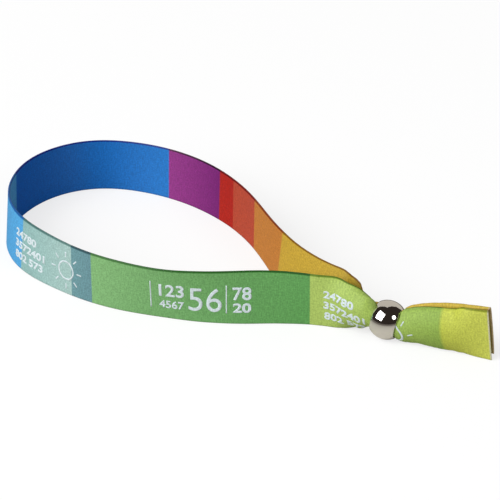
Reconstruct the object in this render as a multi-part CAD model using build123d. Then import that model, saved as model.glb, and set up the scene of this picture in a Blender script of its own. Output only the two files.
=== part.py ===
"""Festival wristband: one printed satin ribbon, closed to a loop by a bored chrome bead.

The band stands on its lower edge, as it does on a table. The ribbon leaves the bead, runs once
round the wrist hollow and comes back, so two strands share the bore and two tails lie past it.
In the bore each strand is folded in three, its middle against the bore's wall and its edges
turned in beside the other strand. Outside it spreads to the flat ribbon within a few millimetres
on the loop's side, and over the whole tail on the other.

Lengths are in millimetres and angles in degrees. +Z is up and the floor is z = 0. +X runs along
the bead's axis, seen from above, out to the tails. Headings turn from +X towards +Y. The origin
is the middle of the band's box at floor level.
"""
from build123d import *
import os
from math import acos, cos, degrees, radians, sin
from typing import NamedTuple

# Ribbon
RIBBON_LENGTH = 350.0
RIBBON_WIDTH = 15.0
RIBBON_THICKNESS = 1.0
TAIL_LENGTH = 26.0
BACK_TAIL_RAISE = 0.7

# Bead
BEAD_DIAMETER = 10.4
BEAD_LENGTH = 6.8
BORE_DIAMETER = 7.2
BORE_ROUND = 0.25
BEAD_DIP = 11.0

# Ribbon inside the bore
PACKED_THICKNESS = 0.6
CREASE_HOLLOW = 0.15
FLAP_ANGLE = 222.0
BORE_CLEARANCE = 0.12
STRAND_GAP = 0.3

# Shares of the width beside the panel that its crease takes, at least and at most
LEAST_CREASE = 0.3
MOST_CREASE = 0.8

# Lengths over which the strands spread to the flat ribbon on the loop's side
FRONT_GATHER = 12.0
BACK_GATHER = 16.0

LOOP_LENGTH = RIBBON_LENGTH - 2 * (TAIL_LENGTH + BEAD_LENGTH)

LOOP_STEPS = 60
GATHER_STEPS = 7
TAIL_STEPS = 9
ARC_CHORDS = 3


class LoopRow(NamedTuple):
    """Loop at one share of its length, from the front strand's bore mouth to the back strand's."""
    share: float
    heading: float
    lean: float


class FoldRow(NamedTuple):
    """Cross-section at one share of a stretch that spreads, counted from the bead.

    The panel is the share of the half width that lies in the middle, and bow is its turn by the
    time it meets the crease. Flap is the turn of the folded edge. Both are 0 in a flat ribbon.
    """
    share: float
    panel: float
    bow: float
    flap: float


class DropRow(NamedTuple):
    """How far the gathered loop has come down to the bore: 0 at its free height, 1 at the bore."""
    share: float
    drop: float


class TailRow(NamedTuple):
    """Course of both tails at one share of their length, and how far the back one is raised."""
    share: float
    heading: float
    pitch: float
    raised: float


# Lean is outward. It is the top edge's tilt away from the middle of the loop.
LOOP = [
    LoopRow(0.00, 180, 0),
    LoopRow(0.02, 163, 2),
    LoopRow(0.06, 189, 1),
    LoopRow(0.09, 198, -4),
    LoopRow(0.12, 205, -6),
    LoopRow(0.16, 198, 0),
    LoopRow(0.20, 187, 6),
    LoopRow(0.25, 175, 3),
    LoopRow(0.30, 161, 0),
    LoopRow(0.35, 151, -4),
    LoopRow(0.40, 129, -4),
    LoopRow(0.45, 105, -2),
    LoopRow(0.50, 82, 1),
    LoopRow(0.55, 52, 0),
    LoopRow(0.60, 15, -1),
    LoopRow(0.65, -7, 1),
    LoopRow(0.70, -24, 2),
    LoopRow(0.75, -37, 1),
    LoopRow(0.80, -47, 1),
    LoopRow(0.84, -48, 3),
    LoopRow(0.88, -43, 9),
    LoopRow(0.92, -29, 15),
    LoopRow(0.96, -13, 12),
    LoopRow(0.985, 2, 5),
    LoopRow(1.00, 0, 0),
]

GATHER = [
    FoldRow(0.00, 0.52, 71, 222),
    FoldRow(0.04, 0.53, 50, 205),
    FoldRow(0.12, 0.59, 33, 190),
    FoldRow(0.25, 0.68, 20, 170),
    FoldRow(0.45, 0.77, 10, 115),
    FoldRow(0.70, 0.82, 4, 50),
    FoldRow(1.00, 0.90, 0, 0),
]

GATHER_DROP = [
    DropRow(0.00, 1.00),
    DropRow(0.04, 0.72),
    DropRow(0.12, 0.34),
    DropRow(0.25, 0.10),
    DropRow(0.45, 0.00),
    DropRow(0.70, 0.00),
    DropRow(1.00, 0.00),
]

TAIL_COURSE = [
    TailRow(0.00, 0, -BEAD_DIP, 0.0),
    TailRow(0.02, 0, -9, 0.0),
    TailRow(0.06, 0, 9, 0.0),
    TailRow(0.14, -1, 18, 0.0),
    TailRow(0.30, -3, 9, 0.1),
    TailRow(0.60, -4, 4, 0.4),
    TailRow(1.00, -4, 3, 1.0),
]

FRONT_TAIL = [
    FoldRow(0.00, 0.52, 71, 222),
    FoldRow(0.02, 0.51, 50, 205),
    FoldRow(0.06, 0.54, 32, 190),
    FoldRow(0.14, 0.58, 20, 180),
    FoldRow(0.30, 0.65, 12, 165),
    FoldRow(0.60, 0.74, 7, 125),
    FoldRow(1.00, 0.86, 2, 30),
]

BACK_TAIL = [
    FoldRow(0.00, 0.52, 71, 222),
    FoldRow(0.02, 0.51, 50, 205),
    FoldRow(0.06, 0.54, 34, 190),
    FoldRow(0.14, 0.58, 22, 180),
    FoldRow(0.30, 0.66, 13, 165),
    FoldRow(0.60, 0.76, 10, 120),
    FoldRow(1.00, 0.86, 9, 50),
]


def smooth(rows, column, share):
    """Read a column of a table at any share, on a smooth curve through the rows."""
    values = [(row.share, getattr(row, column)) for row in rows]
    here = max(i for i in range(len(rows) - 1) if i == 0 or share >= values[i][0])

    def slope(i):
        before, after = values[max(i - 1, 0)], values[min(i + 1, len(rows) - 1)]
        return (after[1] - before[1]) / (after[0] - before[0])

    (start, low), (end, high) = values[here], values[here + 1]
    reach = end - start
    part = (share - start) / reach
    leave = reach * slope(here) - (high - low)
    arrive = (high - low) - reach * slope(here + 1)
    bend = (1 - part) * leave + part * arrive
    return low + part * (high - low) + part * (1 - part) * bend


class Frame(NamedTuple):
    """Directions of the ribbon at one place: along it, up across it, and out of its outer face."""
    along: Vector
    across: Vector
    out: Vector


def facing(heading, pitch=0.0, lean=0.0):
    """Directions of a ribbon that runs to a heading, climbs by a pitch and leans outward."""
    h, p, tilt = radians(heading), radians(pitch), radians(lean)
    along = Vector(cos(p) * cos(h), cos(p) * sin(h), sin(p))
    side = Vector(-sin(h), cos(h), 0)
    up = along.cross(side)
    return Frame(along, up * cos(tilt) + side * sin(tilt), side * cos(tilt) - up * sin(tilt))


class Fold(NamedTuple):
    """Shape of a cross-section: its middle panel, the panel's bow and the turn of its flaps."""
    panel: float
    bow: float
    flap: float


FLAT = Fold(GATHER[-1].panel, 0.0, 0.0)
STRAND_RADIUS = BORE_DIAMETER / 2 - BORE_CLEARANCE - PACKED_THICKNESS / 2
STRAND_BESIDE = (PACKED_THICKNESS + STRAND_GAP) / 2
PACKED_CREASE = PACKED_THICKNESS / 2 + CREASE_HOLLOW
PACKED_BOW = acos((PACKED_CREASE + STRAND_BESIDE) / (STRAND_RADIUS - PACKED_CREASE))
PACKED = Fold(2 * STRAND_RADIUS * PACKED_BOW / RIBBON_WIDTH, degrees(PACKED_BOW), FLAP_ANGLE)


def fold_at(rows, share):
    """Fold at a share of a stretch."""
    return Fold(*[smooth(rows, column, share) for column in Fold._fields])


def thickness_at(fold):
    """Thickness of the ribbon, squeezed as its panel is packed into the bore."""
    squeeze = min(1.0, fold.bow / PACKED.bow)
    return RIBBON_THICKNESS + (PACKED_THICKNESS - RIBBON_THICKNESS) * squeeze


def half_section(fold):
    """Middle line of half a cross-section, from the ribbon's middle to its edge.

    It runs along the bowed panel, round the crease and along the straight flap. Each point is
    (distance across, distance out, turn).
    """
    panel = fold.panel * RIBBON_WIDTH / 2
    spare = RIBBON_WIDTH / 2 - panel
    bow, crease_turn = radians(fold.bow), radians(fold.flap - fold.bow)
    crease = (thickness_at(fold) / 2 + CREASE_HOLLOW) * crease_turn
    crease = min(MOST_CREASE * spare, max(LEAST_CREASE * spare, crease))
    across, out, turn = 0.0, 0.0, 0.0
    points = [(across, out, turn)]
    for length, angle in [(panel, bow)] * ARC_CHORDS + [(crease, crease_turn)] * ARC_CHORDS:
        length, bend = length / ARC_CHORDS, angle / ARC_CHORDS
        chord = length if bend == 0 else 2 * length / bend * sin(bend / 2)
        across += chord * cos(turn + bend / 2)
        out -= chord * sin(turn + bend / 2)
        turn += bend
        points.append((across, out, turn))
    flap = spare - crease
    points.append((across + flap * cos(turn), out - flap * sin(turn), turn))
    return points


def depth(fold):
    """How far the folded edges reach behind the ribbon's middle."""
    return -min(out for across, out, turn in half_section(fold))


class Station(NamedTuple):
    """One cross-section of the ribbon, placed by the middle of its width and thickness."""
    centre: Vector
    frame: Frame
    fold: Fold


def outline(station, chords=True):
    """Closed outline of a cross-section, outer face upward and inner face back down.

    A flat section may do with its four corners. Its lower edge is cut level with the floor.
    """
    half = half_section(station.fold)
    if not chords:
        half = [half[0], half[-1]]
    lower = [(-across, out, -turn) for across, out, turn in half[:0:-1]]
    across_dir, out_dir = station.frame.across, station.frame.out
    faces = []
    for side in (1, -1):
        reach = side * thickness_at(station.fold) / 2
        faces.append([
            station.centre
            + across_dir * (across + reach * sin(turn))
            + out_dir * (out + reach * cos(turn))
            for across, out, turn in lower + half
            if chords or across
        ])
    outer, inner = faces
    if station.fold == FLAT:
        outer[0] -= across_dir * (outer[0].Z / across_dir.Z)
        inner[0] -= across_dir * (inner[0].Z / across_dir.Z)
    ring = outer + inner[::-1]
    lift = Vector(0, 0, max(0.0, -min(point.Z for point in ring)))
    return [point + lift for point in ring]


BEAD_CENTRE = Vector(0, 0, BEAD_DIAMETER / 2)
BEAD_FRAME = facing(0, -BEAD_DIP)


def in_bore(side, place):
    """Station inside the bore, side -1 for the front strand and 1 for the back one."""
    centre = BEAD_CENTRE + BEAD_FRAME.along * place + BEAD_FRAME.out * side * STRAND_RADIUS
    frame = Frame(BEAD_FRAME.along * side, BEAD_FRAME.across, BEAD_FRAME.out * side)
    return Station(centre, frame, PACKED)


def tail_stations(side):
    """Stations of one tail, from past the bore to the cut end, side -1 for the front tail."""
    rows, raise_height = (FRONT_TAIL, 0.0) if side < 0 else (BACK_TAIL, BACK_TAIL_RAISE)
    near = [row.share for row in TAIL_COURSE[1:3]]
    first = TAIL_COURSE[3].share
    shares = near + [first + (1 - first) * i / TAIL_STEPS for i in range(TAIL_STEPS + 1)]
    middle = BEAD_CENTRE + BEAD_FRAME.along * (BEAD_LENGTH / 2)
    stations = []
    before = 0.0
    for share in shares:
        half_way = (before + share) / 2
        run = facing(smooth(TAIL_COURSE, "heading", half_way), smooth(TAIL_COURSE, "pitch", half_way))
        middle += run.along * (TAIL_LENGTH * (share - before))
        before = share
        frame = facing(smooth(TAIL_COURSE, "heading", share), smooth(TAIL_COURSE, "pitch", share))
        fold = fold_at(rows, share)
        beside = depth(fold) + (thickness_at(fold) + STRAND_GAP) / 2
        centre = middle + frame.out * (side * beside)
        centre += frame.across * (raise_height * smooth(TAIL_COURSE, "raised", share))
        turned = Frame(frame.along * side, frame.across, frame.out * side)
        stations.append(Station(centre, turned, fold))
    return stations


def loop_stations():
    """Stations between the front strand's bore mouth and the back strand's, round the loop."""
    mouth = BEAD_CENTRE - BEAD_FRAME.along * (BEAD_LENGTH / 2)
    start = mouth - BEAD_FRAME.out * STRAND_RADIUS
    end = mouth + BEAD_FRAME.out * STRAND_RADIUS
    front, back = FRONT_GATHER / LOOP_LENGTH, BACK_GATHER / LOOP_LENGTH
    first = GATHER[2].share
    spread = [row.share for row in GATHER[:2]]
    spread += [first + (1 - first) * i / GATHER_STEPS for i in range(GATHER_STEPS)]
    flat = [front + (1 - front - back) * i / LOOP_STEPS for i in range(LOOP_STEPS + 1)]
    shares = [front * part for part in spread] + flat + [1 - back * part for part in reversed(spread)]

    places = [start]
    fine = 4
    for before, share in zip(shares, shares[1:]):
        step = (share - before) / fine
        place = places[-1]
        for i in range(fine):
            run = facing(smooth(LOOP, "heading", before + (i + 0.5) * step))
            place += run.along * (LOOP_LENGTH * step)
        places.append(place)
    closing = end - places[-1]

    stations = []
    for share, place in list(zip(shares, places))[1:-1]:
        gather = min(1.0, share / front, (1 - share) / back)
        fold = FLAT if gather > 1 - 1e-9 else fold_at(GATHER, gather)
        drop = smooth(GATHER_DROP, "drop", gather)
        lean = smooth(LOOP, "lean", share)
        pitch = BEAD_DIP * drop * (1 if share < 0.5 else -1)
        frame = facing(smooth(LOOP, "heading", share), pitch, lean)
        flat_height = RIBBON_WIDTH / 2 * cos(radians(lean))
        height = flat_height + (mouth.Z - flat_height) * drop
        centre = Vector(place.X + closing.X * share, place.Y + closing.Y * share, height)
        stations.append(Station(centre, frame, fold))
    return stations


def loft_rings(rings):
    """Solid ruled through closed outlines of equally many corners."""
    return Solid.make_loft([Wire.make_polygon(ring, close=True) for ring in rings], ruled=True)


def make_ribbon():
    """Ribbon from the front tail's cut end through the bead, round and back to the other end."""
    loop = loop_stations()
    inside = [-BEAD_LENGTH / 2, 0.0, BEAD_LENGTH / 2]
    gathered = next(i for i, station in enumerate(loop) if station.fold == FLAT)
    front = tail_stations(-1)[::-1] + [in_bore(-1, place) for place in reversed(inside)]
    front += loop[:gathered + 1]
    flat = loop[gathered:len(loop) - gathered]
    back = loop[len(loop) - gathered - 1:] + [in_bore(1, place) for place in inside]
    back += tail_stations(1)
    bunches = [loft_rings([outline(station) for station in run]) for run in (front, back)]
    band = loft_rings([outline(station, chords=False) for station in flat])
    return bunches[0].fuse(band, bunches[1])


def make_bead():
    """Bead: the middle slice of a ball, with a rounded bore."""
    slice_of_ball = Sphere(BEAD_DIAMETER / 2) & Cylinder(BEAD_DIAMETER, BEAD_LENGTH)
    bead = slice_of_ball - Cylinder(BORE_DIAMETER / 2, 2 * BEAD_LENGTH)
    mouths = [edge for edge in bead.edges().filter_by(GeomType.CIRCLE)
              if abs(edge.radius - BORE_DIAMETER / 2) < 1e-6]
    bead = fillet(mouths, BORE_ROUND)
    return Pos(*BEAD_CENTRE) * Rot(0, 90 + BEAD_DIP, 0) * bead


def main():
    """Build both pieces, move the box's middle to the origin and write them."""
    ribbon = make_ribbon()
    bead = make_bead()
    box = ribbon.bounding_box()
    to_origin = Pos(-box.center().X, -box.center().Y, 0)
    os.makedirs("parts", exist_ok=True)
    for name, shape in (("ribbon", ribbon), ("bead", bead)):
        placed = to_origin * shape
        export_step(placed, f"parts/{name}.step")
        size = placed.bounding_box().size
        print(f"{name}: {len(placed.solids())} solid, {placed.volume:.1f} mm3, "
              f"{size.X:.1f} x {size.Y:.1f} x {size.Z:.1f} mm")
    print(f"loop {LOOP_LENGTH:.1f} mm of {RIBBON_LENGTH:.0f} mm ribbon")


main()
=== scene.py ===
"""Printed satin wristband, standing as a loop, closed by a chrome-plated bead.

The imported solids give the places. This file makes the cloth with its real thickness, its print,
its weave and its heat-cut ends, the polished bead, and a pale studio round them.

Lengths in tables and fields are millimetres and angles are degrees. Meshes are metres.
"""

import logging
import math
from dataclasses import dataclass
from enum import Enum
from typing import NamedTuple, Sequence

import bmesh
import bpy
import numpy as np
from bmesh.types import BMEdge, BMesh, BMVert
from bpy.types import Material, Node, NodeSocket, NodeTree, Object, World
from mathutils import Matrix, Vector


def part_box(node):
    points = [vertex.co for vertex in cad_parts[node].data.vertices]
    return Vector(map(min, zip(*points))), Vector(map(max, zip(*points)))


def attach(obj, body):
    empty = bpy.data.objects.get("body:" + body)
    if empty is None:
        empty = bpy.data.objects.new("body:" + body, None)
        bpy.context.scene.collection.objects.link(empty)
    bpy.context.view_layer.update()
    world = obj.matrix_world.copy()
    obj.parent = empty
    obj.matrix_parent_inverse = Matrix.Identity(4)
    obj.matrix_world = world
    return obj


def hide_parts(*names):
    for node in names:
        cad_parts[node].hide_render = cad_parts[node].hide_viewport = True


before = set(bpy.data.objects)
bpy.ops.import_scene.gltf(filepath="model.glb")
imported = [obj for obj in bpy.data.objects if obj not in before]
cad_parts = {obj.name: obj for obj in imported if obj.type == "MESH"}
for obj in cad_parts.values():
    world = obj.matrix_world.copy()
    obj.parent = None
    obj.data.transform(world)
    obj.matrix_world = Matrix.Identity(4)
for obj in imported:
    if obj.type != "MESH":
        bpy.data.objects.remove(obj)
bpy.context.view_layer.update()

logging.basicConfig(level=logging.INFO, format="%(message)s")
log = logging.getLogger("wristband")

MM = 0.001
ROOT = "root"
# Names of the map of lengths on the cloth, in metres, and of the one that colours are baked to
CLOTH_MAP, BAKE_MAP = "Print", "OFBake"
# Points nearer than MERGE are made one, and those nearer than ON_PLANE to a cut lie on it
MERGE, ON_PLANE = 1e-4, 1e-5
TINY = 1e-9


class Strand(Enum):
    """The two strands at the bead, by the side of its axis that each lies on."""
    FRONT = -1
    BACK = 1


class Turn(NamedTuple):
    """Heading, outward lean and climb of the loop at a share of its length, from the front
    strand."""
    share: float
    heading: float
    lean: float
    pitch: float = 0.0


class Crease(NamedTuple):
    """Folded cross-section at a share of a stretch that spreads from the bead.

    low and high are the shares of the cloth, below and above the crest, that lie in the panel.
    The bows are the panel's turns at its two sides, and the flaps are the turns of the folded
    edges. slide is how far above the cloth's middle line the crest lies. In the loop, drop is
    how far the crest has come down to the bore, 0 to 1, swell how far it stands outward, and
    tilt how far the section tips along the strand.
    """
    share: float
    low: float
    low_bow: float
    low_flap: float
    high: float
    high_bow: float
    high_flap: float
    slide: float = 0.0
    drop: float = 0.0
    swell: float = 0.0
    tilt: float = 0.0


class Climb(NamedTuple):
    """Course between the tails at a share of their length, how far each tail's crest lies from
    it, how far they lean towards the front, and how far the back tail is raised."""
    share: float
    heading: float
    pitch: float
    front: float
    back: float
    lean: float
    raised: float


class Knot(NamedTuple):
    """Length along the ribbon reached at a share of the mesh columns."""
    share: float
    length: float


# The loop, from the front strand's mouth of the bore round to the back strand's
LOOP = (
    Turn(0.00, 180, 0),
    Turn(0.02, 163, 2),
    Turn(0.06, 189, 1),
    Turn(0.09, 198, -4),
    Turn(0.12, 205, -6),
    Turn(0.16, 198, 0),
    Turn(0.20, 187, 6),
    Turn(0.25, 175, 3),
    Turn(0.30, 161, 0),
    Turn(0.35, 151, -4),
    Turn(0.40, 129, -4),
    Turn(0.45, 105, -2),
    Turn(0.50, 82, 1),
    Turn(0.55, 52, 0),
    Turn(0.60, 15, -1),
    Turn(0.65, -7, 1),
    Turn(0.70, -24, 2),
    Turn(0.75, -37, 1),
    Turn(0.80, -47, 1),
    Turn(0.84, -48, 3),
    Turn(0.88, -43, 9),
    Turn(0.92, -29, 15),
    Turn(0.96, -13, 12),
    Turn(0.985, 2, 5),
    Turn(1.00, 0, 0),
)

# The loop's folds beside the bead, from the bore's mouth to where the cloth is flat
FRONT_GATHER = (
    Crease(0.00, 0.465, 71, 210, 0.59, 71, 222, 0.90, 1.00, 0.00, 11),
    Crease(0.05, 0.52, 66, 205, 0.68, 62, 165, 0.90, 0.66, 0.05, 7),
    Crease(0.12, 0.58, 56, 195, 0.69, 48, 126, 0.90, 0.34, 0.20, 3),
    Crease(0.22, 0.66, 44, 190, 0.70, 46, 100, 0.90, 0.20, 0.40, 1),
    Crease(0.31, 0.72, 40, 165, 0.77, 44, 80, 0.85, 0.12, 0.50, 0),
    Crease(0.41, 0.82, 46, 72, 0.84, 42, 62, 0.75, 0.00, 0.70, 0),
    Crease(0.50, 0.86, 38, 52, 0.87, 40, 52, 0.60, -0.03, 0.90, 0),
    Crease(0.62, 0.87, 22, 30, 0.88, 34, 42, 0.35, -0.04, 0.70, 0),
    Crease(0.72, 0.88, 10, 14, 0.88, 22, 28, 0.20, -0.03, 0.35, 0),
    Crease(0.85, 0.90, 3, 4, 0.90, 8, 10, 0.05, 0.00, 0.05, 0),
    Crease(1.00, 0.90, 0, 0, 0.90, 0, 0),
)
BACK_GATHER = (
    Crease(0.00, 0.52, 71, 222, 0.52, 71, 222, 0, 1.00, 0.00, 11),
    Crease(0.04, 0.52, 70, 218, 0.52, 70, 218, 0, 0.98, 0.00, 8),
    Crease(0.08, 0.53, 66, 212, 0.50, 67, 212, 0, 1.10, 0.10, 6),
    Crease(0.15, 0.54, 56, 205, 0.48, 62, 206, 0, 1.10, 0.20, 3),
    Crease(0.22, 0.57, 40, 200, 0.54, 56, 200, 0, 1.40, 0.60, 1),
    Crease(0.31, 0.62, 24, 195, 0.76, 27, 42, 0, 1.55, 0.90, 0),
    Crease(0.41, 0.68, 14, 188, 0.84, 15, 22, 0, 1.45, 0.90, 0),
    Crease(0.50, 0.74, 8, 180, 0.88, 8, 11, 0, 0.98, 0.50, 0),
    Crease(0.62, 0.84, 4, 60, 0.89, 5, 6, 0, 0.24, 0.05, 0),
    Crease(0.80, 0.88, 1, 8, 0.90, 0, 0),
    Crease(1.00, 0.90, 0, 0, 0.90, 0, 0),
)

# The tails and their folds, from the bore's other mouth to the cut ends
TAILS = (
    Climb(0.00, 0, -11, 3.18, 3.18, 0, 0.0),
    Climb(0.02, 0, -9, 3.30, 3.35, 0, 0.0),
    Climb(0.06, 0, 9, 3.20, 3.35, 0, 0.0),
    Climb(0.14, -1, 18, 2.90, 3.20, 0, 0.0),
    Climb(0.30, -3, 9, 2.80, 3.05, 1, 0.0),
    Climb(0.60, -4, 4, 2.65, 2.95, 6, 0.4),
    Climb(0.80, -4, 3, 1.80, 2.35, 8, 0.8),
    Climb(1.00, -4, 3, 0.40, 1.60, 5, 1.1),
)
FRONT_TAIL = (
    Crease(0.00, 0.465, 71, 210, 0.59, 71, 222, 0.90),
    Crease(0.03, 0.53, 62, 200, 0.65, 58, 140, 0.90),
    Crease(0.08, 0.55, 54, 192, 0.68, 48, 92, 0.90),
    Crease(0.15, 0.57, 46, 190, 0.69, 48, 84, 0.90),
    Crease(0.27, 0.64, 38, 186, 0.73, 47, 80, 0.85),
    Crease(0.46, 0.75, 34, 156, 0.78, 45, 78, 0.60),
    Crease(0.61, 0.81, 34, 90, 0.82, 42, 70, 0.40),
    Crease(0.77, 0.88, 16, 26, 0.87, 18, 28, 0.15),
    Crease(1.00, 0.90, 1, 3, 0.90, 0, 1, 0.00),
)
BACK_TAIL = (
    Crease(0.00, 0.52, 71, 222, 0.52, 71, 222),
    Crease(0.02, 0.52, 62, 215, 0.51, 52, 212),
    Crease(0.06, 0.54, 50, 205, 0.50, 30, 200),
    Crease(0.14, 0.60, 28, 195, 0.55, 18, 192),
    Crease(0.22, 0.64, 18, 193, 0.59, 16, 187),
    Crease(0.30, 0.66, 12, 190, 0.62, 12, 182),
    Crease(0.46, 0.72, 8, 185, 0.68, 12, 178),
    Crease(0.61, 0.77, 8, 140, 0.72, 10, 176),
    Crease(0.80, 0.86, 6, 42, 0.77, 7, 174),
    Crease(1.00, 0.88, 4, 12, 0.81, 4, 172),
)

# Mesh columns stand closer together at the folds and at the cut ends
COLUMNS = (
    Knot(0.000, 0.0),
    Knot(0.008, 0.3),
    Knot(0.110, 26.0),
    Knot(0.140, 32.8),
    Knot(0.220, 50.0),
    Knot(0.780, 300.0),
    Knot(0.860, 317.2),
    Knot(0.890, 324.0),
    Knot(0.992, 349.7),
    Knot(1.000, 350.0),
)


def smooth(rows: Sequence[NamedTuple], column: str, share: float) -> float:
    """Reads a table's column on a smooth curve through its rows.

    Args:
        rows: The table, in order of share.
        column: The column's name.
        share: Where to read it.

    Returns:
        The value there.
    """
    values = [(row.share, getattr(row, column)) for row in rows]
    here = max(i for i in range(len(rows) - 1) if i == 0 or share >= values[i][0])

    def slope(i: int) -> float:
        """Slope of the curve at row i."""
        before, after = values[max(i - 1, 0)], values[min(i + 1, len(rows) - 1)]
        return (after[1] - before[1]) / (after[0] - before[0])

    (start, low), (end, high) = values[here], values[here + 1]
    reach = end - start
    part = (share - start) / reach
    leave = reach * slope(here) - (high - low)
    arrive = (high - low) - reach * slope(here + 1)
    bend = (1 - part) * leave + part * arrive
    return low + part * (high - low) + part * (1 - part) * bend


def row_at(rows: Sequence[NamedTuple], share: float) -> NamedTuple:
    """The row that a table would have at a share."""
    return type(rows[0])(share, *(smooth(rows, name, share) for name in rows[0]._fields[1:]))


def linear(code: str) -> tuple[float, float, float, float]:
    """Turns an sRGB hex colour to linear light.

    Args:
        code: Colour such as "#5FA463".

    Returns:
        Red, green, blue and an alpha of 1.
    """
    parts = [int(code[i:i + 2], 16) / 255 for i in (1, 3, 5)]
    light = [c / 12.92 if c <= 0.04045 else ((c + 0.055) / 1.055) ** 2.4 for c in parts]
    return (*light, 1.0)


def add_node(tree: NodeTree, kind: str, inputs: dict | None = None, **settings: object) -> Node:
    """Adds a shader node with its settings, and its inputs as values or links.

    Args:
        tree: The node tree.
        kind: The node's type name after "ShaderNode".
        inputs: By input name or number, a value, a socket to link from, or a node to link from
            by its first output.
        **settings: The node's properties.

    Returns:
        The new node.
    """
    node = tree.nodes.new("ShaderNode" + kind)
    for name, value in settings.items():
        setattr(node, name, value)
    for name, value in (inputs or {}).items():
        if isinstance(value, Node):
            value = value.outputs[0]
        if isinstance(value, NodeSocket):
            tree.links.new(value, node.inputs[name])
        else:
            node.inputs[name].default_value = value
    return node


def new_material(name: str) -> tuple[Material, NodeTree]:
    """Makes a material with an empty node tree.

    Args:
        name: What the real surface is.

    Returns:
        The material and its tree.
    """
    made = bpy.data.materials.new(name)
    made.use_nodes = True
    made.node_tree.nodes.clear()
    return made, made.node_tree


def to_object(bm: BMesh, name: str, material: Material) -> Object:
    """Turns a bmesh in millimetres into a smooth-shaded object in metres.

    Args:
        bm: The mesh, which is freed.
        name: The piece's name.
        material: Its material.

    Returns:
        The object, linked to the scene.
    """
    bmesh.ops.scale(bm, vec=(MM, MM, MM), verts=bm.verts)
    mesh = bpy.data.meshes.new(name)
    bm.to_mesh(mesh)
    bm.free()
    mesh.shade_smooth()
    mesh.materials.append(material)
    made = bpy.data.objects.new(name, mesh)
    bpy.context.scene.collection.objects.link(made)
    return made


class Axes(NamedTuple):
    """Directions at one place of the ribbon: along it, up across it, out of its outer face."""
    along: Vector
    across: Vector
    out: Vector

    def turned(self, side: int) -> "Axes":
        """The same place for a strand that runs and faces the other way where side is -1."""
        return Axes(self.along * side, self.across, self.out * side)


def facing(heading: float, pitch: float = 0.0, lean: float = 0.0) -> Axes:
    """Directions of a ribbon that runs to a heading, climbs by a pitch and leans outward.

    Args:
        heading: Turn from +X towards +Y.
        pitch: Climb of the run.
        lean: Tilt of the upper edge towards the outer side.

    Returns:
        The three directions.
    """
    h, p, tilt = (math.radians(angle) for angle in (heading, pitch, lean))
    along = Vector((math.cos(p) * math.cos(h), math.cos(p) * math.sin(h), math.sin(p)))
    side = Vector((-math.sin(h), math.cos(h), 0))
    up = along.cross(side)
    across = up * math.cos(tilt) + side * math.sin(tilt)
    return Axes(along, across, side * math.cos(tilt) - up * math.sin(tilt))


@dataclass(frozen=True)
class Cloth:
    """Sizes of the ribbon, and of the bead that it passes through.

    gather is how far from the bead the loop's folds reach. crease_hollow is the inner radius of
    a pressed fold, which takes up at least least_crease and at most most_crease of the cloth past
    the panel, as shares.
    """
    length: float = 350.0
    width: float = 15.0
    thickness: float = 0.6
    tail: float = 26.0
    gather: float = 16.0
    crease_hollow: float = 0.15
    least_crease: float = 0.3
    most_crease: float = 0.8
    bead_length: float = 6.8
    bore: float = 7.2
    bore_dip: float = 11.0
    clearance: float = 0.12

    @property
    def loop(self) -> float:
        """Length of the loop between the two bore mouths."""
        return self.length - 2 * (self.tail + self.bead_length)

    @property
    def strand_radius(self) -> float:
        """Distance of a packed strand's middle from the bore's axis."""
        return self.bore / 2 - self.clearance - self.thickness / 2

    @property
    def rim(self) -> float:
        """Radius of the ribbon's rounded edge."""
        return self.thickness / 2

    @property
    def half_way(self) -> float:
        """Way round the cross-section from the middle of one edge to that of the other."""
        return self.width - self.thickness + math.pi * self.rim


class Section:
    """One cross-section of the ribbon, placed in space."""

    FLOOR_MARKS = 60

    def __init__(self, cloth: Cloth, centre: Vector, axes: Axes, crease: Crease) -> None:
        """Keeps the section and lifts it clear of the floor.

        Args:
            cloth: The ribbon's sizes.
            centre: Middle of its width and thickness.
            axes: Its directions.
            crease: Its fold.
        """
        self.cloth, self.axes, self.crease = cloth, axes, crease
        self.centre = centre.copy()
        marks = [cloth.width * (i / self.FLOOR_MARKS - 0.5) for i in range(self.FLOOR_MARKS + 1)]
        lowest = min(self.point(t, reach).z for t in marks for reach in (-cloth.rim, cloth.rim))
        self.centre.z += max(0.0, -lowest)

    def fold(self, across: float) -> tuple[float, float, float]:
        """Middle line of the cross-section: a bowed panel, a crease, and a straight flap.

        Args:
            across: Distance from the ribbon's middle, measured on the cloth, up positive.

        Returns:
            Distance across, distance out, and turn in radians.
        """
        cloth, crease = self.cloth, self.crease
        across -= crease.slide
        side = 1 if across >= 0 else -1
        reach = abs(across)
        half = cloth.width / 2 - side * crease.slide
        share, bow, flap_turn = ((crease.high, crease.high_bow, crease.high_flap) if side > 0
                                 else (crease.low, crease.low_bow, crease.low_flap))
        panel = share * half
        spare = half - panel
        bow = math.radians(bow)
        turn_left = math.radians(flap_turn) - bow
        bend = (cloth.rim + cloth.crease_hollow) * abs(turn_left)
        bend = min(cloth.most_crease * spare, max(cloth.least_crease * spare, bend))
        x, y, turn = 0.0, 0.0, 0.0
        for run, angle in ((panel, bow), (bend, turn_left), (spare - bend, 0.0)):
            part = min(1.0, reach / run)
            length, angle = run * part, angle * part
            chord = length if abs(angle) < TINY else 2 * length / angle * math.sin(angle / 2)
            x += chord * math.cos(turn + angle / 2)
            y -= chord * math.sin(turn + angle / 2)
            turn += angle
            reach -= length
            if reach <= TINY:
                break
        return side * x, y, side * turn

    def point(self, across: float, reach: float) -> Vector:
        """Point of the ribbon in space.

        Args:
            across: Distance from the ribbon's middle, measured on the cloth.
            reach: Distance out of the middle of its thickness.

        Returns:
            The point.
        """
        x, y, turn = self.fold(across)
        return (self.centre + self.axes.across * (x + reach * math.sin(turn))
                + self.axes.out * (y + reach * math.cos(turn)))


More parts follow.
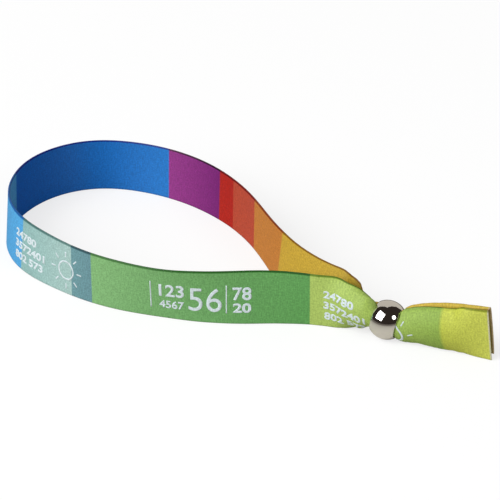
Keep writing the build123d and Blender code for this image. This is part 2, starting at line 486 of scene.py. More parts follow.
class Course:
    """The ribbon's way from the front tail's cut end, round the loop, to the back tail's."""

    STEP = 0.25
    GATHERS = {Strand.FRONT: FRONT_GATHER, Strand.BACK: BACK_GATHER}
    TAIL_FOLDS = {Strand.FRONT: FRONT_TAIL, Strand.BACK: BACK_TAIL}

    def __init__(self, cloth: Cloth, bead_centre: Vector) -> None:
        """Works out the plan of the loop and of the tails.

        Args:
            cloth: The ribbon's sizes.
            bead_centre: Middle of the bead.
        """
        self.cloth, self.bead_centre = cloth, bead_centre
        self.kept: dict[int, Section] = {}
        self.bead_axes = facing(0, -cloth.bore_dip)
        self.mouth = bead_centre - self.bead_axes.along * (cloth.bead_length / 2)
        beside = self.bead_axes.out * cloth.strand_radius
        walked = self._walk(self.mouth - beside, cloth.loop, LOOP)
        closing = self.mouth + beside - walked[-1]
        self.loop_plan = [spot + closing * (i / (len(walked) - 1))
                          for i, spot in enumerate(walked)]
        far_mouth = bead_centre + self.bead_axes.along * (cloth.bead_length / 2)
        self.tail_plan = self._walk(far_mouth, cloth.tail, TAILS)

    def _walk(self, start: Vector, length: float, rows: Sequence[NamedTuple]) -> list[Vector]:
        """Walks from a place by a table's headings and pitches.

        Args:
            start: The first place.
            length: How far to walk.
            rows: The table.

        Returns:
            The places, a step apart.
        """
        steps = round(length / self.STEP)
        places = [start]
        for i in range(steps):
            row = row_at(rows, (i + 0.5) / steps)
            run = facing(row.heading, row.pitch)
            places.append(places[-1] + run.along * (length / steps))
        return places

    @staticmethod
    def _between(places: list[Vector], share: float) -> Vector:
        """Reads a plan.

        Args:
            places: The plan.
            share: Share of its length.

        Returns:
            The place there.
        """
        spot = min(max(share, 0.0), 1.0) * (len(places) - 1)
        low = min(int(spot), len(places) - 2)
        return places[low].lerp(places[low + 1], spot - low)

    def section(self, length: float) -> Section:
        """Cross-section at a length from the front tail's cut end.

        Args:
            length: Length along the ribbon.

        Returns:
            The section.
        """
        cloth = self.cloth
        strand, way = ((Strand.FRONT, length) if length < cloth.length / 2
                       else (Strand.BACK, cloth.length - length))
        if way < cloth.tail:
            return self._tail(strand, 1 - way / cloth.tail)
        if way < cloth.tail + cloth.bead_length:
            return self._bore(strand, cloth.tail + cloth.bead_length / 2 - way)
        return self._loop(strand, way - cloth.tail - cloth.bead_length)

    def _bore(self, strand: Strand, place: float) -> Section:
        """Section inside the bore, where both strands are folded like the front one.

        Args:
            strand: The strand.
            place: Distance along the bore's axis from the bead's middle.

        Returns:
            The section.
        """
        axes, side = self.bead_axes, strand.value
        centre = (self.bead_centre + axes.along * place
                  + axes.out * (side * self.cloth.strand_radius))
        return Section(self.cloth, centre, axes.turned(side), FRONT_GATHER[0])

    def _loop(self, strand: Strand, way: float) -> Section:
        """Section of the loop.

        Args:
            strand: The nearer strand.
            way: Length from that strand's bore mouth.

        Returns:
            The section.
        """
        cloth = self.cloth
        share = way / cloth.loop if strand is Strand.FRONT else 1 - way / cloth.loop
        turn = row_at(LOOP, share)
        crease = row_at(self.GATHERS[strand], min(1.0, way / cloth.gather))
        axes = facing(turn.heading, -strand.value * crease.tilt, turn.lean)
        free = cloth.width / 2 * math.cos(math.radians(turn.lean))
        centre = self._between(self.loop_plan, share) + axes.out * crease.swell
        centre.z = free + (self.mouth.z - free) * crease.drop
        return Section(cloth, centre, axes, crease)

    def _tail(self, strand: Strand, share: float) -> Section:
        """Section of a tail.

        Args:
            strand: The tail's strand.
            share: Share of the tail's length, from the bead.

        Returns:
            The section.
        """
        climb = row_at(TAILS, share)
        beside, lift = ((climb.front, 0.0) if strand is Strand.FRONT
                        else (climb.back, climb.raised))
        axes = facing(climb.heading, climb.pitch, -climb.lean).turned(strand.value)
        centre = self._between(self.tail_plan, share) + axes.out * beside + axes.across * lift
        return Section(self.cloth, centre, axes, row_at(self.TAIL_FOLDS[strand], share))

    def near(self, length: float, across: float, reach: float) -> Vector:
        """Point of the cloth between two kept sections, for what is printed on it.

        Args:
            length: Length along the ribbon.
            across: Distance from the ribbon's middle, measured on the cloth.
            reach: Distance out of the middle of its thickness.

        Returns:
            The point.
        """
        spot = length / self.STEP
        low = int(spot)
        for i in (low, low + 1):
            if i not in self.kept:
                self.kept[i] = self.section(i * self.STEP)
        return self.kept[low].point(across, reach).lerp(
            self.kept[low + 1].point(across, reach), spot - low)


@dataclass(frozen=True)
class Satin:
    """Woven polyester satin, undyed, so the white yarn shows.

    The warp floats over the weft on both faces. To the eye that is a soft gloss, wide across the
    threads and narrow along them, with faint lines across the band and a mottle from the yarn.
    The real threads are about 0.1 mm apart. They are drawn 0.28 mm apart, and the mottle 0.45 mm,
    so that they show.
    """
    name: str = "undyed_polyester_satin"
    yarn: str = "#BCC8CD"
    mottle_mm: float = 0.45
    mottle: float = 0.1
    thread_mm: float = 0.28
    thread_stretch: float = 0.15
    lines: float = 0.08
    noise_low: float = 0.3
    noise_high: float = 0.7
    relief: float = 0.3
    relief_mm: float = 0.03
    roughness: float = 0.55
    gloss: float = 0.25
    gloss_stretch: float = 0.7
    gloss_turn: float = 0.25

    def make(self, cloth: Cloth) -> Material:
        """Builds the material.

        Args:
            cloth: The ribbon's sizes.

        Returns:
            The material, which reads the map of lengths.
        """
        made, tree = new_material(self.name)
        where = add_node(tree, "UVMap", uv_map=CLOTH_MAP)
        weave = self._weave(tree, where)
        colour = add_node(tree, "VectorMath", {0: self._dye(tree, where, cloth), 3: weave},
                          operation="SCALE")
        bump = add_node(tree, "Bump", {"Strength": self.relief, "Distance": self.relief_mm * MM,
                                       "Height": weave})
        threads = add_node(tree, "Tangent", direction_type="UV_MAP", uv_map=CLOTH_MAP)
        skin = add_node(tree, "BsdfPrincipled", {
            "Base Color": colour, "Roughness": self.roughness, "Specular IOR Level": self.gloss,
            "Anisotropic": self.gloss_stretch, "Anisotropic Rotation": self.gloss_turn,
            "Tangent": threads, "Normal": bump})
        add_node(tree, "OutputMaterial", {0: skin})
        return made

    def _weave(self, tree: NodeTree, where: Node) -> Node:
        """Adds the mottle and the thread lines.

        Args:
            tree: The node tree.
            where: Place on the cloth.

        Returns:
            A factor around 1, for the colour and for the height of the threads.
        """
        factors = []
        for grain, stretch, depth in ((self.mottle_mm, 1.0, self.mottle),
                                      (self.thread_mm, self.thread_stretch, self.lines)):
            place = add_node(tree, "Mapping", {"Vector": where, "Scale": (1.0, stretch, 1.0)})
            noise = add_node(tree, "TexNoise", {"Vector": place, "Scale": 1 / (grain * MM)})
            factors.append(add_node(tree, "MapRange", {
                0: noise, 1: self.noise_low, 2: self.noise_high, 3: 1 - depth, 4: 1 + depth}))
        return add_node(tree, "Math", dict(enumerate(factors)), operation="MULTIPLY")

    def _dye(self, tree: NodeTree, where: Node, cloth: Cloth) -> Node | tuple[float, ...]:
        """The colour that the weave shades, here the bare yarn's."""
        return linear(self.yarn)[:3]


class Block(NamedTuple):
    """A dyed colour block: the length along the ribbon where it starts, its colour there and at
    its end, and the width of its soft edge. The change from the start colour to the end colour
    is painted light, the sheen and the shade that the lamps give the loop there."""
    start: float
    colour: str
    shaded_end: str
    edge: float = 0.2


@dataclass(frozen=True)
class DyedSatin(Satin):
    """The satin dyed through by heat transfer, so both faces carry the colour blocks.

    Along the upper edge the outer face and the rim are darkened and deepened in colour, as
    painted shade. The cut ends are sealed with heat, which leaves them a pale melted line.
    """
    name: str = "dyed_polyester_satin"
    # Within a block, the change from start to end colour is painted sheen and shade
    blocks: tuple[Block, ...] = (
        Block(0.0, "#C9C8A8", "#C9C8A8"),
        Block(0.25, "#B0B64C", "#A0A83A"),
        Block(12.9, "#78943C", "#98AE58", 1.0),
        Block(50.9, "#528C4A", "#709E66"),
        Block(110.4, "#587E86", "#5C848A"),
        Block(117.2, "#90ACA8", "#7A9E9C"),
        Block(137.9, "#4490C2", "#408ABC"),
        Block(166.2, "#0054AA", "#126AB4"),
        Block(219.0, "#842A78", "#6A1A64"),
        Block(238.4, "#9E1C10", "#9E1C10"),
        Block(245.2, "#A4402A", "#A6422C"),
        Block(258.5, "#B0702E", "#AE6E2C"),
        Block(278.8, "#B2902E", "#AC9634"),
        Block(349.5, "#B09C74", "#B09C74"),
    )
    mottle: float = 0.18
    lines: float = 0.12
    # Painted shade along the upper edge: its width, its fade, how dark, and its deepening gamma
    painted_edge_mm: float = 0.5
    painted_edge_fade: float = 1.6
    painted_edge_shade: float = 0.76
    painted_edge_gamma: float = 2.2

    def _dye(self, tree: NodeTree, where: Node, cloth: Cloth) -> Node:
        """Adds the dye, with painted shade along the outer face's upper edge and over its rim.

        Args:
            tree: The node tree.
            where: Place on the cloth.
            cloth: The ribbon's sizes.

        Returns:
            The node that gives the colour.
        """
        along, around, _ = add_node(tree, "SeparateXYZ", {0: where}).outputs
        # Painted shade: darker and deeper colour near the upper edge's rim, on no other edge
        edge = add_node(tree, "Math", {0: cloth.half_way * MM, 1: around}, operation="SUBTRACT")
        outer = add_node(tree, "MapRange", {
            0: edge, 1: self.painted_edge_mm * MM, 2: self.painted_edge_fade * self.painted_edge_mm * MM,
            3: self.painted_edge_shade, 4: 1.0})
        inner = add_node(tree, "Math", {0: around, 1: (cloth.half_way + self.painted_edge_mm) * MM},
                         operation="GREATER_THAN")
        shade = add_node(tree, "Math", {0: outer, 1: inner}, operation="MAXIMUM")
        depth = add_node(tree, "Math", {0: shade, 1: -self.painted_edge_gamma}, operation="POWER")
        dye = self._mix(tree, along, cloth.length)
        shaded_dye = add_node(tree, "Gamma", {0: dye, 1: depth})
        return add_node(tree, "VectorMath", {0: shaded_dye, 3: shade}, operation="SCALE")

    def _mix(self, tree: NodeTree, along: NodeSocket, length: float) -> NodeSocket:
        """Mixes the colour blocks, one after the other.

        Args:
            tree: The node tree.
            along: Length along the ribbon, in metres.
            length: The ribbon's whole length.

        Returns:
            The colour.
        """
        colour = linear(self.blocks[0].colour)
        ends = [block.start for block in self.blocks[1:]] + [length]
        for block, end in zip(self.blocks, ends):
            # Painted sheen and shade: each block runs from its colour to its shaded end colour
            fade = add_node(tree, "MapRange", {0: along, 1: block.start * MM, 2: end * MM})
            shade = add_node(tree, "Mix", {0: fade, 6: linear(block.colour),
                                           7: linear(block.shaded_end)}, data_type="RGBA")
            step = add_node(tree, "MapRange", {0: along, 1: (block.start - block.edge / 2) * MM,
                                               2: (block.start + block.edge / 2) * MM})
            colour = add_node(tree, "Mix", {0: step, 6: colour, 7: shade.outputs[2]},
                              data_type="RGBA").outputs[2]
        return colour


@dataclass(frozen=True)
class PolishedChrome:
    """Chrome plate over a barrel-polished zinc alloy bead.

    To the eye it is a cool, near-perfect mirror, with faint patches where polishing left it a
    little less smooth. Real polishing lines are too fine to show, so the patches are 1.2 mm wide.
    """
    colour: str = "#D9D6D1"
    polished: float = 0.03
    worn: float = 0.07
    marks_mm: float = 1.2
    marks_detail: float = 3.0
    marks_from: float = 0.35
    marks_to: float = 0.75

    def make(self) -> Material:
        """Builds the material.

        Returns:
            The material, which reads Object coordinates.
        """
        made, tree = new_material("chrome_plate")
        where = add_node(tree, "TexCoord").outputs["Object"]
        marks = add_node(tree, "TexNoise", {"Vector": where, "Scale": 1 / (self.marks_mm * MM),
                                            "Detail": self.marks_detail})
        rough = add_node(tree, "MapRange", {0: marks, 1: self.marks_from, 2: self.marks_to,
                                            3: self.polished, 4: self.worn})
        skin = add_node(tree, "BsdfPrincipled", {"Base Color": linear(self.colour),
                                                 "Metallic": 1.0, "Roughness": rough})
        add_node(tree, "OutputMaterial", {0: skin})
        return made


class RimPoint(NamedTuple):
    """A point round the ribbon's cross-section: across, out of the middle, and way round."""
    across: float
    reach: float
    way: float


@dataclass
class Ribbon:
    """The woven ribbon, a closed sheet with rounded edges and pinched, heat-cut ends."""
    course: Course
    cloth: Cloth
    finish: DyedSatin = DyedSatin()
    columns: int = 680
    face_segments: int = 44
    rim_segments: int = 2
    bake_rows: int = 3
    bake_margin: float = 0.01

    def ring(self) -> list[RimPoint]:
        """Goes round the cross-section.

        Returns:
            Points from the middle of the lower edge, by the outer face, back to it.
        """
        rim, flat = self.cloth.rim, self.cloth.width / 2 - self.cloth.rim
        arc = [math.pi / 2 * i / self.rim_segments for i in range(self.rim_segments + 1)]
        half = [(-flat - rim * math.cos(a), rim * math.sin(a)) for a in arc]
        half += [(-flat + 2 * flat * i / self.face_segments, rim)
                 for i in range(1, self.face_segments)]
        half += [(flat + rim * math.sin(a), rim * math.cos(a)) for a in arc]
        way, points, before = 0.0, [], half[0]
        for across, reach in half + [(-across, -reach) for across, reach in half[1:]]:
            way += math.dist(before, (across, reach))
            before = (across, reach)
            points.append(RimPoint(across, reach, way))
        return points

    def build(self) -> Object:
        """Builds the ribbon with its UV maps.

        Returns:
            The ribbon, riding on the body in the CAD ribbon's place.
        """
        cloth, ring = self.cloth, self.ring()
        around = len(ring) - 1
        bm = bmesh.new()
        bmesh.ops.create_grid(bm, x_segments=self.columns, y_segments=around, size=0.5)
        shares, knots = zip(*COLUMNS)
        lengths = np.interp(np.linspace(0, 1, self.columns + 1), shares, knots).tolist()
        sections = [self.course.section(length) for length in lengths]
        spots = {}
        for vert in bm.verts:
            column = round((vert.co.x + 0.5) * self.columns)
            place = round((vert.co.y + 0.5) * around)
            spots[vert] = (column, place)
            end = min(lengths[column], cloth.length - lengths[column], cloth.rim) / cloth.rim
            pinch = math.sqrt(1 - (1 - end) ** 2)
            vert.co = sections[column].point(ring[place].across, ring[place].reach * pinch)
        self._map(bm, spots, lengths, ring)
        bmesh.ops.remove_doubles(bm, verts=bm.verts, dist=MERGE)
        bmesh.ops.recalc_face_normals(bm, faces=bm.faces)
        made = to_object(bm, "ribbon_cloth", self.finish.make(cloth))
        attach(made, ROOT)
        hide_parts("ribbon")
        return made

    def _map(self, bm: BMesh, spots: dict, lengths: list[float], ring: list[RimPoint]) -> None:
        """Lays the map of lengths, and one in rows that fills its square for baked colours.

        Args:
            bm: The grid.
            spots: Column and place round the ring of each vertex.
            lengths: Length of each column.
            ring: The cross-section's points.
        """
        real = bm.loops.layers.uv.new(CLOTH_MAP)
        packed = bm.loops.layers.uv.new(BAKE_MAP)
        row_length = self.cloth.length / self.bake_rows
        margin, filled = self.bake_margin, 1 - 2 * self.bake_margin
        for face in bm.faces:
            middle = sum(lengths[spots[loop.vert][0]] for loop in face.loops) / len(face.loops)
            row = min(int(middle / row_length), self.bake_rows - 1)
            for loop in face.loops:
                column, place = spots[loop.vert]
                loop[real].uv = (lengths[column] * MM, ring[place].way * MM)
                across = lengths[column] / row_length - row
                up = row + margin + filled * ring[place].way / ring[-1].way
                loop[packed].uv = (margin + filled * across, up / self.bake_rows)


class Field(NamedTuple):
    """A place on the cloth: from one length to another, and from one height to another."""
    start: float
    end: float
    low: float
    high: float


class Stroke(Enum):
    """Stroke of the printed digits, as the growth of the typeface's outlines."""
    THIN = 0.0
    BOLD = 0.022
    BLACK = 0.035


class Numeral(NamedTuple):
    """Printed digits, the place that they fill, and their stroke."""
    digits: str
    place: Field
    stroke: Stroke = Stroke.BLACK


class Group(NamedTuple):
    """Where a group of rows starts, how far up it is moved, and how far it is drawn out."""
    start: float
    shift: float
    stretch: float


@dataclass
class Print:
    """White print of plain numbers, bars and suns, on the outer face.

    It reads towards the front tail, so a shape is drawn with its length reversed. It stands
    proud of the cloth's face and is sunk a little in it, and is cut in steps to bend with it.
    """
    course: Course
    cloth: Cloth
    finish: Satin = Satin()
    proud: float = 0.03
    sunk: float = 0.02
    cut: float = 0.5
    cut_along: tuple[float, float] = (20.0, 142.0)
    cut_across: tuple[float, float] = (-7.0, 7.0)
    bar_line: float = 0.3
    bars: tuple[float, ...] = (72.8, 92.9)
    bar_ends: tuple[float, float] = (-4.5, 3.5)
    numerals: tuple[Numeral, ...] = (
        Numeral("56", Field(74.0, 82.7, -4.2, 2.6), Stroke.THIN),
        Numeral("123", Field(83.9, 90.6, -0.7, 3.0), Stroke.BOLD),
        Numeral("4567", Field(83.9, 90.6, -4.3, -1.9), Stroke.BOLD),
        Numeral("78", Field(66.2, 71.2, -0.8, 2.9), Stroke.BOLD),
        Numeral("20", Field(66.3, 71.1, -4.3, -1.6)),
    )
    suns: tuple[tuple[float, float], ...] = ((119.2, -0.5), (26.8, -0.5))
    sun_radius: float = 2.8
    sun_corners: int = 48
    sun_line: float = 0.45
    rays: int = 8
    ray_from: float = 3.9
    ray_to: float = 5.4
    ray_line: float = 0.36
    groups: tuple[Group, ...] = (Group(141.6, 0.35, 1.1), Group(47.2, 0.0, 1.0))
    rows: tuple[Numeral, ...] = (
        Numeral("24780", Field(-9.5, 0.0, 1.0, 3.2)),
        Numeral("3572401", Field(-12.8, 0.0, -2.1, 0.1)),
        Numeral("802", Field(-5.8, -0.2, -5.2, -3.0)),
        Numeral("573", Field(-12.2, -6.8, -5.2, -3.0)),
    )

    def build(self) -> Object:
        """Builds the print.

        Returns:
            One thin closed piece on the cloth.
        """
        bm = bmesh.new()
        self._draw(bm)
        self._cut_up(bm)
        self._lay(bm)
        bmesh.ops.recalc_face_normals(bm, faces=bm.faces)
        made = to_object(bm, "ribbon_print", self.finish.make(self.cloth))
        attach(made, ROOT)
        return made

    def _draw(self, bm: BMesh) -> None:
        """Draws the flat print, length to +X and height to +Y.

        Args:
            bm: The empty mesh.
        """
        low, high = self.bar_ends
        for length in self.bars:
            self._stroke(bm, Vector((length, low, 0)), Vector((length, high, 0)), self.bar_line)
        for numeral in self.numerals:
            self._digits(bm, numeral)
        for length, height in self.suns:
            self._sun(bm, Vector((length, height, 0)))
        for group in self.groups:
            for row in self.rows:
                start, end, low, high = row.place
                place = Field(group.start + group.stretch * start,
                              group.start + group.stretch * end,
                              low + group.shift, high + group.shift)
                self._digits(bm, row._replace(place=place))
        # A text brings a map of its own, which nothing here reads
        for layer in bm.loops.layers.uv.values():
            bm.loops.layers.uv.remove(layer)
        bmesh.ops.remove_doubles(bm, verts=bm.verts, dist=MERGE)

    def _stroke(self, bm: BMesh, start: Vector, end: Vector, line: float) -> None:
        """Adds a straight stroke.

        Args:
            bm: The flat print.
            start: One end.
            end: The other end.
            line: Its width.
        """
        run = end - start
        place = (Matrix.Translation((start + end) / 2)
                 @ Matrix.Rotation(math.atan2(run.y, run.x), 4, "Z")
                 @ Matrix.Diagonal((run.length, line, 1, 1)))
        bmesh.ops.create_grid(bm, x_segments=1, y_segments=1, size=0.5, matrix=place)

    def _sun(self, bm: BMesh, centre: Vector) -> None:
        """Adds a ring with rays round it.

        Args:
            bm: The flat print.
            centre: Its middle.
        """
        inner = self.sun_radius - self.sun_line / math.cos(math.pi / self.sun_corners)
        ring = []
        for radius in (self.sun_radius, inner):
            made = bmesh.ops.create_circle(bm, segments=self.sun_corners, radius=radius,
                                           matrix=Matrix.Translation(centre))["verts"]
            ring += dict.fromkeys(edge for vert in made for edge in vert.link_edges)
        bmesh.ops.bridge_loops(bm, edges=ring)
        for i in range(self.rays):
            angle = 2 * math.pi * i / self.rays
            out = Vector((math.cos(angle), math.sin(angle), 0))
            self._stroke(bm, centre + out * self.ray_from, centre + out * self.ray_to,
                         self.ray_line)

    def _digits(self, bm: BMesh, numeral: Numeral) -> None:
        """Adds digits, filled to their place.

        Args:
            bm: The flat print.
            numeral: The digits and their place.
        """
        curve = bpy.data.curves.new("digits", "FONT")
        curve.body = numeral.digits
        curve.offset = numeral.stroke.value
        shape = bpy.data.objects.new("digits", curve)
        mesh = bpy.data.meshes.new_from_object(shape)
        low = Vector(min(v.co[i] for v in mesh.vertices) for i in range(3))
        high = Vector(max(v.co[i] for v in mesh.vertices) for i in range(3))
        place = numeral.place
        wide = (place.end - place.start) / (high.x - low.x)
        tall = (place.high - place.low) / (high.y - low.y)
        mesh.transform(Matrix.Translation((place.end, place.low, 0))
                       @ Matrix.Diagonal((-wide, tall, 1, 1)) @ Matrix.Translation(-low))
        bm.from_mesh(mesh)
        bpy.data.objects.remove(shape)
        bpy.data.curves.remove(curve)
        bpy.data.meshes.remove(mesh)

    def _cut_up(self, bm: BMesh) -> None:
        """Cuts the flat print into short steps, so that it bends with the cloth.

        Args:
            bm: The flat print.
        """
        for normal, (start, end) in ((Vector((1, 0, 0)), self.cut_along),
                                     (Vector((0, 1, 0)), self.cut_across)):
            for i in range(round((end - start) / self.cut)):
                bmesh.ops.bisect_plane(bm, geom=bm.verts[:] + bm.edges[:] + bm.faces[:],
                                       dist=ON_PLANE, plane_co=normal * (start + i * self.cut),
                                       plane_no=normal)

    def _lay(self, bm: BMesh) -> None:
        """Gives the flat print its thickness and its map, and lays it on the cloth.

        Args:
            bm: The flat print.
        """
        grown = bmesh.ops.extrude_face_region(bm, geom=bm.faces[:])["geom"]
        for vert in bm.verts:
            vert.co.z = -self.sunk
        for item in grown:
            if isinstance(item, BMVert):
                item.co.z = self.proud
        real = bm.loops.layers.uv.new(CLOTH_MAP)
        for face in bm.faces:
            for loop in face.loops:
                loop[real].uv = loop.vert.co.xy * MM
        for vert in bm.verts:
            vert.co = self.course.near(vert.co.x, vert.co.y, self.cloth.rim + vert.co.z)


@dataclass
class Bead:
    """Bored ball with its ends cut off, turned to the strands' axis."""
    centre: Vector
    cloth: Cloth
    diameter: float = 10.4
    mouth_round: float = 0.25
    rim_round: float = 0.07
    round_segments: int = 4
    around: int = 192
    finish: PolishedChrome = PolishedChrome()

    def build(self) -> Object:
        """Builds the bead.

        Returns:
            The bead, riding on the body in the CAD bead's place.
        """
        bm = bmesh.new()
        bmesh.ops.create_uvsphere(bm, u_segments=self.around, v_segments=self.around // 2,
                                  radius=self.diameter / 2)
        for side in (-1, 1):
            bmesh.ops.bisect_plane(bm, geom=bm.verts[:] + bm.edges[:] + bm.faces[:],
                                   dist=ON_PLANE, clear_outer=True, plane_no=(0, 0, side),
                                   plane_co=(0, 0, side * self.cloth.bead_length / 2))
        rims = [edge for edge in bm.edges if edge.is_boundary]
        grown = bmesh.ops.extrude_edge_only(bm, edges=rims)["geom"]
        mouths = []
        for item in grown:
            if isinstance(item, BMVert):
                item.co.xy = item.co.xy.normalized() * (self.cloth.bore / 2)
            elif isinstance(item, BMEdge) and item.is_boundary:
                mouths.append(item)
        bmesh.ops.bridge_loops(bm, edges=mouths)
        for edges, offset in ((mouths, self.mouth_round), (rims, self.rim_round)):
            bmesh.ops.bevel(bm, geom=[edge for edge in edges if edge.is_valid], offset=offset,
                            offset_type="OFFSET", segments=self.round_segments, profile=0.5,
                            affect="EDGES", material=-1)
        bmesh.ops.recalc_face_normals(bm, faces=bm.faces)
        turned = Matrix.Rotation(math.radians(90 + self.cloth.bore_dip), 4, "Y")
        bmesh.ops.transform(bm, matrix=Matrix.Translation(self.centre) @ turned, verts=bm.verts)
        made = to_object(bm, "bead_shell", self.finish.make())
        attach(made, ROOT)
        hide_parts("bead")
        return made


@dataclass(frozen=True)
class Room:
    """The room round the table.

    Cloth and floor get even light from it. What mirrors it sees a dark room with a lit paper
    sweep behind the table, narrower towards its sides and wavy at its edge, which gives the
    chrome its dark band.
    """
    dark: str = "#352E2A"
    lit: str = "#D6D0C6"
    even: str = "#ACACAC"
    backdrop: str = "#FFFFFF"
    tip: float = 0.22
    narrowing: float = 0.7
    waves: float = 0.3
    wave_scale: float = 4.0
    soft_edge: float = 0.04

    def make(self, behind: Vector, beside: Vector) -> World:
        """Builds the world.

        Args:
            behind: Level direction away from the camera.
            beside: Level direction to the camera's right.

        Returns:
            The world.
        """
        world = bpy.data.worlds.new("room")
        world.use_nodes = True
        tree = world.node_tree
        tree.nodes.clear()
        path = add_node(tree, "LightPath").outputs
        where = add_node(tree, "TexCoord").outputs["Generated"]
        sheet = behind - Vector((0, 0, self.tip))
        reach, aside = (add_node(tree, "VectorMath", {0: where, 1: way}, operation="DOT_PRODUCT")
                        for way in (sheet, beside))
        width = add_node(tree, "Math", {0: aside.outputs["Value"]}, operation="ABSOLUTE")
        narrowed = add_node(tree, "Math", {0: width, 1: -self.narrowing,
                                           2: reach.outputs["Value"]}, operation="MULTIPLY_ADD")
        waves = add_node(tree, "TexNoise", {"Vector": where, "Scale": self.wave_scale})
        wavy = add_node(tree, "Math", {0: waves, 1: self.waves, 2: narrowed},
                        operation="MULTIPLY_ADD")
        sweep = add_node(tree, "MapRange", {0: wavy, 1: self.waves / 2,
                                            2: self.waves / 2 + self.soft_edge})
        mirrored = add_node(tree, "Mix", {0: sweep, 6: linear(self.dark), 7: linear(self.lit)},
                            data_type="RGBA")
        seen = mirrored.outputs[2]
        for ray, tone in (("Is Diffuse Ray", self.even), ("Is Camera Ray", self.backdrop)):
            seen = add_node(tree, "Mix", {0: path[ray], 6: seen, 7: linear(tone)},
                            data_type="RGBA").outputs[2]
        light = add_node(tree, "Background", {"Color": seen})
        add_node(tree, "OutputWorld", {0: light})
        return world


@dataclass(frozen=True)
class TablePaint:
    """White matt paint, rolled on a board.

    It has no gloss, so the eye sees one even pale ground. For the camera it is a darker paint
    with a glow, which keeps shadows on it soft and light. For mirrors alone it is pale beside
    the bead and painted darker further out, a painted shade that the chrome reflects.
    """
    near: float = 10.0
    far: float = 60.0
    near_tone: str = "#CCC8C0"
    far_painted_shade: str = "#6A645F"
    lit_tone: str = "#CAC6BF"
    seen_tone: str = "#828282"
    glow: float = 0.73

    def make(self, centre: Vector) -> Material:
        """Builds the material.

        Args:
            centre: Middle of the bead.

        Returns:
            The material, which reads Object coordinates.
        """
        made, tree = new_material("matt_white_table")
        path = add_node(tree, "LightPath").outputs
        where = add_node(tree, "TexCoord").outputs["Object"]
        # Painted shade for glossy rays alone: darker away from the bead, seen in the chrome
        away = add_node(tree, "VectorMath", {0: where, 1: centre * MM}, operation="DISTANCE")
        fade = add_node(tree, "MapRange", {0: away.outputs["Value"], 1: self.near * MM,
                                           2: self.far * MM})
        mirrored = add_node(tree, "Mix", {0: fade, 6: linear(self.near_tone),
                                          7: linear(self.far_painted_shade)}, data_type="RGBA")
        tone = linear(self.lit_tone)
        for ray, other in (("Is Glossy Ray", mirrored.outputs[2]),
                           ("Is Camera Ray", linear(self.seen_tone))):
            tone = add_node(tree, "Mix", {0: path[ray], 6: tone, 7: other},
                            data_type="RGBA").outputs[2]
        skin = add_node(tree, "BsdfDiffuse", {0: tone})
        power = add_node(tree, "Math", {0: path["Is Camera Ray"], 1: self.glow},
                         operation="MULTIPLY")
        glow = add_node(tree, "Emission", {"Strength": power})
        both = add_node(tree, "AddShader", {0: skin, 1: glow})
        add_node(tree, "OutputMaterial", {0: both})
        return made


class BoxShape(Enum):
    """Outline of a softbox, as the share of its square that it fills."""
    SQUARE = 1.0
    DISK = math.pi / 4


class Softbox(NamedTuple):
    """An area light: name, direction from the bead in the photograph's plan, size and light."""
    name: str
    shape: BoxShape
    direction: tuple[float, float, float]
    size: float
    radiance: float


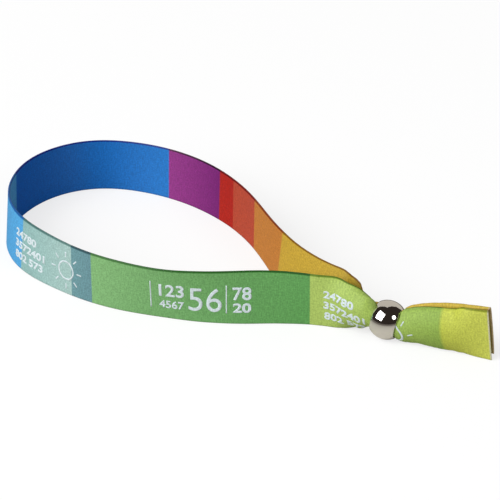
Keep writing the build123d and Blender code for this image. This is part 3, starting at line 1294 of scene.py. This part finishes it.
@dataclass
class Studio:
    """Pale table, soft lights, and the camera where the photograph was taken from."""
    centre: Vector
    plan_turn: float = 23.0
    elevation: float = 27.25
    distance: float = 1200.0
    pixels_per_mm: float = 3.853
    bead_pixel: tuple[float, float] = (387.4, 319.7)
    frame_pixels: float = 500.0
    sensor: float = 36.0
    clip: tuple[float, float] = (50.0, 50000.0)
    table_reach: float = 30000.0
    light_distance: float = 2400.0
    lights: tuple[Softbox, ...] = (
        Softbox("key", BoxShape.SQUARE, (-0.67, -0.39, 0.61), 1900.0, 6.8),
        Softbox("side", BoxShape.DISK, (0.62, -0.61, 0.57), 900.0, 5.0),
    )
    room: Room = Room()
    paint: TablePaint = TablePaint()

    def in_part(self, direction: Sequence[float]) -> Vector:
        """Turns a direction of the photograph's plan into the part's frame."""
        return Matrix.Rotation(math.radians(self.plan_turn), 3, "Z") @ Vector(direction)

    def add_camera(self) -> None:
        """Adds the camera that shows the bead and the scale as the photograph does."""
        e = math.radians(self.elevation)
        forward = Vector((0, math.cos(e), -math.sin(e)))
        up = Vector((0, math.sin(e), math.cos(e)))
        half = self.frame_pixels / 2
        right_by = (self.bead_pixel[0] - half) / self.pixels_per_mm
        up_by = (half - self.bead_pixel[1]) / self.pixels_per_mm
        offset = -self.distance * forward - right_by * Vector((1, 0, 0)) - up_by * up
        data = bpy.data.cameras.new("camera")
        data.sensor_width = self.sensor
        data.lens = self.pixels_per_mm * self.distance * self.sensor / self.frame_pixels
        data.clip_start, data.clip_end = (reach * MM for reach in self.clip)
        made = bpy.data.objects.new("camera", data)
        made.location = (self.centre + self.in_part(offset)) * MM
        made.rotation_mode = "QUATERNION"
        made.rotation_quaternion = self.in_part(forward).to_track_quat("-Z", "Y")
        bpy.context.scene.collection.objects.link(made)
        bpy.context.scene.camera = made

    def add_lights(self) -> None:
        """Adds the softboxes, each of a given radiance, turned to the bead."""
        for box in self.lights:
            data = bpy.data.lights.new(box.name, "AREA")
            data.shape, data.size = box.shape.name, box.size * MM
            data.energy = box.radiance * math.pi * box.shape.value * (box.size * MM) ** 2
            towards = self.in_part(box.direction).normalized()
            made = bpy.data.objects.new(box.name, data)
            made.location = (self.centre + towards * self.light_distance) * MM
            made.rotation_mode = "QUATERNION"
            made.rotation_quaternion = (-towards).to_track_quat("-Z", "Y")
            bpy.context.scene.collection.objects.link(made)

    def build(self) -> None:
        """Builds the studio."""
        scene = bpy.context.scene
        self.add_camera()
        self.add_lights()
        scene.world = self.room.make(self.in_part((0, 1, 0)), self.in_part((1, 0, 0)))
        bm = bmesh.new()
        bmesh.ops.create_grid(bm, x_segments=1, y_segments=1, size=self.table_reach)
        floor = to_object(bm, "floor", self.paint.make(self.centre))
        scene.view_settings.view_transform = "Standard"
        scene.view_settings.look = "None"


def main() -> None:
    """Builds the band and its studio."""
    low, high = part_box("bead")
    centre = (Vector(low) + Vector(high)) / 2 / MM
    cloth = Cloth()
    course = Course(cloth, centre)
    ribbon = Ribbon(course, cloth).build()
    bead = Bead(centre, cloth).build()
    printed = Print(course, cloth).build()
    for piece in (ribbon, bead, printed):
        log.info("%s: %d faces", piece.name, len(piece.data.polygons))
    Studio(centre).build()


if __name__ == "__main__":
    main()
